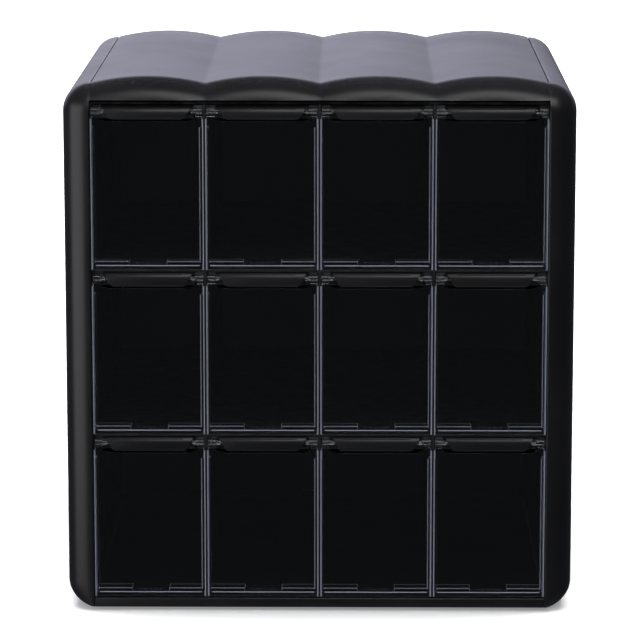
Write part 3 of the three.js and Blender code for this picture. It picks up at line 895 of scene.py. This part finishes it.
for side in ("left", "right"):
    for height in ("low", "mid", "high"):
        node = f"back_screw_{side}_{height}"
        low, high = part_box(node)
        x, z = (low.x + high.x) / 2, (low.z + high.z) / 2
        head_back = (x, high.y - HEAD_HEIGHT, z)
        screw = rod(f"pan_head_{side}_{height}", HEAD, head_back, (x, high.y, z), 32)
        pick(screw, "FACE", lambda c, n: n.y < -0.9)
        bpy.ops.mesh.inset(thickness=HEAD - SHANK)
        pull((0, -SHANK_LENGTH, 0))
        put_down()
        round_edges(screw, 0.0008, 4, 50)
        for wide, tall in ((SLOT_LONG, SLOT_NARROW), (SLOT_NARROW, SLOT_LONG)):
            slot_low = (x - wide, high.y - SLOT_DEPTH, z - tall)
            slot = block("slot", slot_low, (x + wide, high.y + 0.001, z + tall))
            modify(screw, "BOOLEAN", operation="DIFFERENCE", solver="EXACT", object=slot)
            bpy.data.objects.remove(slot)
        hand_over(screw, "case", "screw_black", [screw_black], node)

# %% Feet
FOOT_RING, FOOT_EDGE, FOOT_HOLLOW = 0.0025, 0.001, 0.0008

for end in ("front", "rear"):
    for side in ("left", "right"):
        node = f"foot_{end}_{side}"
        low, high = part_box(node)
        x, y = (low.x + high.x) / 2, (low.y + high.y) / 2
        foot = rod(f"rubber_{node}", (high.x - low.x) / 2, (x, y, low.z), (x, y, high.z), 48)
        pick(foot, "FACE", lambda c, n: n.z < -0.9)
        bpy.ops.mesh.inset(thickness=FOOT_RING)
        bpy.ops.mesh.inset(thickness=FOOT_EDGE)
        pull((0, 0, FOOT_HOLLOW))
        put_down()
        round_edges(foot, 0.0006, 3, 50)
        hand_over(foot, "case", "foot_rubber", [foot_rubber], node)

# %% [markdown]
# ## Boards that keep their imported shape
# Shelves, dividers, deck and liners are flat boards, seen only through the doors, so
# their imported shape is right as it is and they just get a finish.

# %% Boards
for node in ("shelf_lower", "shelf_upper", "divider_left", "divider_middle", "divider_right",
             "top_deck", "liner_left", "liner_right"):
    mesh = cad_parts[node].data
    mesh.materials.clear()
    # the top deck gets the darker tone painted as shade
    mesh.materials.append(deck_painted_shade if node == "top_deck" else panel_black)
print("boards done")

# %% [markdown]
# ## Floor and light The unit stands on a pale floor that glows like a lit studio sweep,
# more so further out. A long, narrow lamp overhead throws the short soft shadow along the
# skirt, and a broad one behind it fills the floor. Neither shows in a reflection. A pale
# sheet behind the unit, which is part of the world, is what the top mirrors. The front lamp
# draws the band on the fascia and the rolled tops of the valances, the left one the line
# down the left shell. The rest of the room is dim, so that the doors stay dark, with some
# light from low in front for the undersides.

# %% Floor
put_down()
bpy.ops.mesh.primitive_plane_add(size=60, location=(0, 0, 0))
floor = bpy.context.object
floor.name = "floor"
floor_material, finish = new_finish("pale_floor")
away = finish.node("ShaderNodeVectorMath", {"operation": "LENGTH"}, {0: finish.place()}, output=1)
glow = finish.blend(finish.between(away, 0.5, 2.0), (0.24, 0.24, 0.24), (1.0, 1.0, 1.0))
finish.feed(
    Base_Color=(0.9, 0.9, 0.905, 1),
    Roughness=0.9,
    Specular_IOR_Level=0.0,
    Emission_Color=glow,
    Emission_Strength=1.0,
)
floor.data.materials.append(floor_material)
floor.visible_glossy = False
floor.visible_transmission = False
floor.visible_diffuse = False
floor.visible_shadow = False
print("floor ready")

# %% Lamps
def lamp(name, place, aim, width, height, power, colour=(1, 1, 1)):
    """An area lamp at a place, turned to its aim."""
    data = bpy.data.lights.new(name, "AREA")
    data.shape = "RECTANGLE"
    data.size, data.size_y, data.energy, data.color = width, height, power, colour
    made = bpy.data.objects.new(name, data)
    made.location = place
    made.visible_camera = False
    made.rotation_euler = (Vector(aim) - Vector(place)).to_track_quat("-Z", "Y").to_euler()
    bpy.context.scene.collection.objects.link(made)
    print("lamp", name, power, "W")
    return made


overhead = lamp("overhead", (0, 1.2, 4.2), (0, 1.2, 0), 7.0, 7.0, 95)
strip = lamp("strip", (0, FRONT + 0.37, 4.2), (0, FRONT + 0.37, 0), 4.0, 0.8, 290)
overhead.visible_glossy = strip.visible_glossy = False
lamp("front", (0.6, -2.75, 2.3), (0, 0, 0.45), 2.2, 1.8, 31)
lamp("left", (-1.84, -1.38, 0.3), (-0.2, -0.19, 0.25), 2.4, 1.6, 20, (0.97, 0.97, 1.0))

# %% The room
world = bpy.data.worlds.new("room")
bpy.context.scene.world = world
room = Finish(world, "Background")
way = room.node("ShaderNodeTexCoord", output="Generated")
to_back = room.node("ShaderNodeSeparateXYZ", None, {0: way}, output=1)
upward = room.node("ShaderNodeSeparateXYZ", None, {0: way}, output=2)
sheet = room.between(to_back, 0.5, 0.9) * room.between(upward, -0.04, 0.05)
sheet = sheet * (1 - room.between(upward, 0.40, 0.62))
sidewards = room.node("ShaderNodeSeparateXYZ", None, {0: way}, output=0)
sheet = sheet * room.between(sidewards, -0.3, 0.3, 1.5, 0.45)
below = (1 - room.between(upward, -0.85, -0.5)) * (1 - room.between(to_back, -0.2, 0.2))
around = room.blend(below, (0.050, 0.054, 0.058), (0.60, 0.62, 0.66))
room.feed(Color=room.blend(sheet, around, (0.96, 0.94, 1.18)), Strength=1.0)
bpy.context.scene.view_settings.view_transform = "Standard"
print("room ready")
